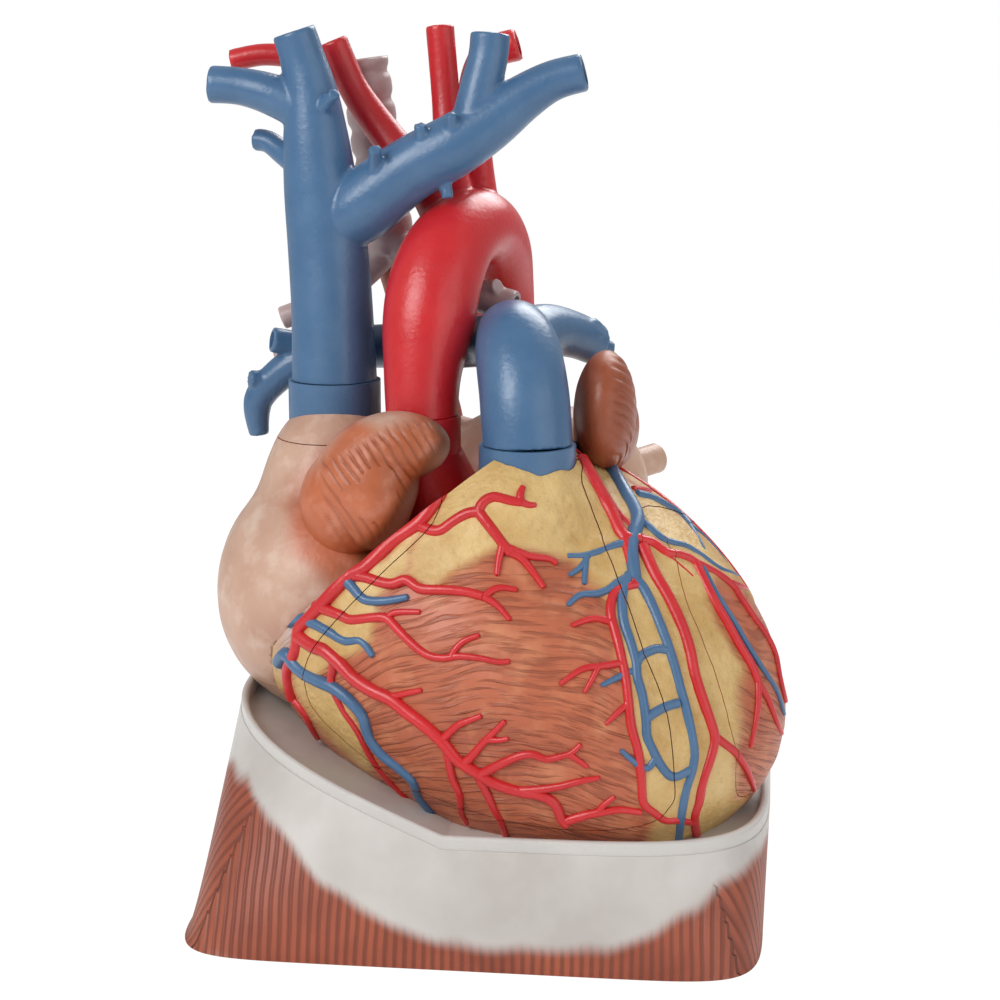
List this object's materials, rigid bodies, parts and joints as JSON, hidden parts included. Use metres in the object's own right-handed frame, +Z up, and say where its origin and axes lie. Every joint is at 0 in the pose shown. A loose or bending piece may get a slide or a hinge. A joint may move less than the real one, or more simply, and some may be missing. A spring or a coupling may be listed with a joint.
{
  "type": "human heart anatomy model",
  "caption": "Large take-apart model of the human heart on a diaphragm base; chamber walls, great vessels, windpipe and gullet come off.",
  "frame": {"origin": "middle of the base's flat underside", "axes": "+Z up, the front of the heart faces -Y, its apex points to +X"},
  "size_m": [0.2827, 0.268, 0.4138],
  "materials": {
    "artery_red": "satin painted plastic",
    "vein_blue": "satin painted plastic",
    "muscle_brown": "hand painted, satin",
    "atrium_flesh": "hand painted, satin",
    "auricle_brown": "hand painted, satin",
    "airway_pink": "hand painted, satin",
    "tendon_white": "hand painted, satin",
    "base_brown": "hand painted, satin",
    "valve_cream": "hand painted, matt",
    "board_grey": "plain, matt",
    "steel": "bright zinc"
  },
  "bodies": {
    "heart_on_base": {"base_board": "board_grey", "board_screws": "steel", "diaphragm_block": "base_brown", "pericardium_rim": "tendon_white", "heart_body": "muscle_brown", "cava_root": "vein_blue", "aortic_root": "artery_red", "pulmonary_root": "vein_blue", "descending_aorta": "artery_red", "inferior_vena_cava": "vein_blue", "aortic_valve": "valve_cream", "pulmonary_valve": "valve_cream", "tricuspid_valve": "valve_cream", "mitral_valve": "valve_cream", "right_papillary_muscles": "valve_cream", "left_papillary_muscles": "valve_cream", "locating_pins": "steel"},
    "right_ventricle_cover": {"right_ventricle_wall": "muscle_brown"},
    "left_ventricle_cover": {"left_ventricle_wall": "muscle_brown"},
    "right_atrium_cover": {"right_atrium_wall": "atrium_flesh"},
    "left_auricle_piece": {"left_auricle": "auricle_brown"},
    "pulmonary_vessels": {"pulmonary_trunk": "vein_blue"},
    "aortic_arch": {"aorta": "artery_red"},
    "upper_veins": {"superior_vena_cava": "vein_blue"},
    "windpipe": {"trachea": "airway_pink", "oesophagus": "base_brown"}
  },
  "joints": [
    {"name": "right_ventricle_cover_off", "type": "slide", "parent": "heart_on_base", "child": "right_ventricle_cover", "axis": [0, -1, 0], "range_m": [0, 0.15]},
    {"name": "left_ventricle_cover_off", "type": "slide", "parent": "heart_on_base", "child": "left_ventricle_cover", "axis": [0.766, -0.6428, 0], "range_m": [0, 0.15]},
    {"name": "right_atrium_cover_off", "type": "slide", "parent": "heart_on_base", "child": "right_atrium_cover", "axis": [-0.766, -0.6428, 0], "range_m": [0, 0.15]},
    {"name": "left_auricle_off", "type": "slide", "parent": "heart_on_base", "child": "left_auricle_piece", "axis": [1, 0, 0], "range_m": [0, 0.12]},
    {"name": "pulmonary_vessels_off", "type": "slide", "parent": "heart_on_base", "child": "pulmonary_vessels", "axis": [0, 0, 1], "range_m": [0, 0.15]},
    {"name": "aortic_arch_off", "type": "slide", "parent": "pulmonary_vessels", "child": "aortic_arch", "axis": [0, 0, 1], "range_m": [0, 0.2]},
    {"name": "upper_veins_off", "type": "slide", "parent": "aortic_arch", "child": "upper_veins", "axis": [0, 0, 1], "range_m": [0, 0.2]},
    {"name": "windpipe_off", "type": "slide", "parent": "pulmonary_vessels", "child": "windpipe", "axis": [-0.8, 0.6, 0], "range_m": [0, 0.2]}
  ]
}
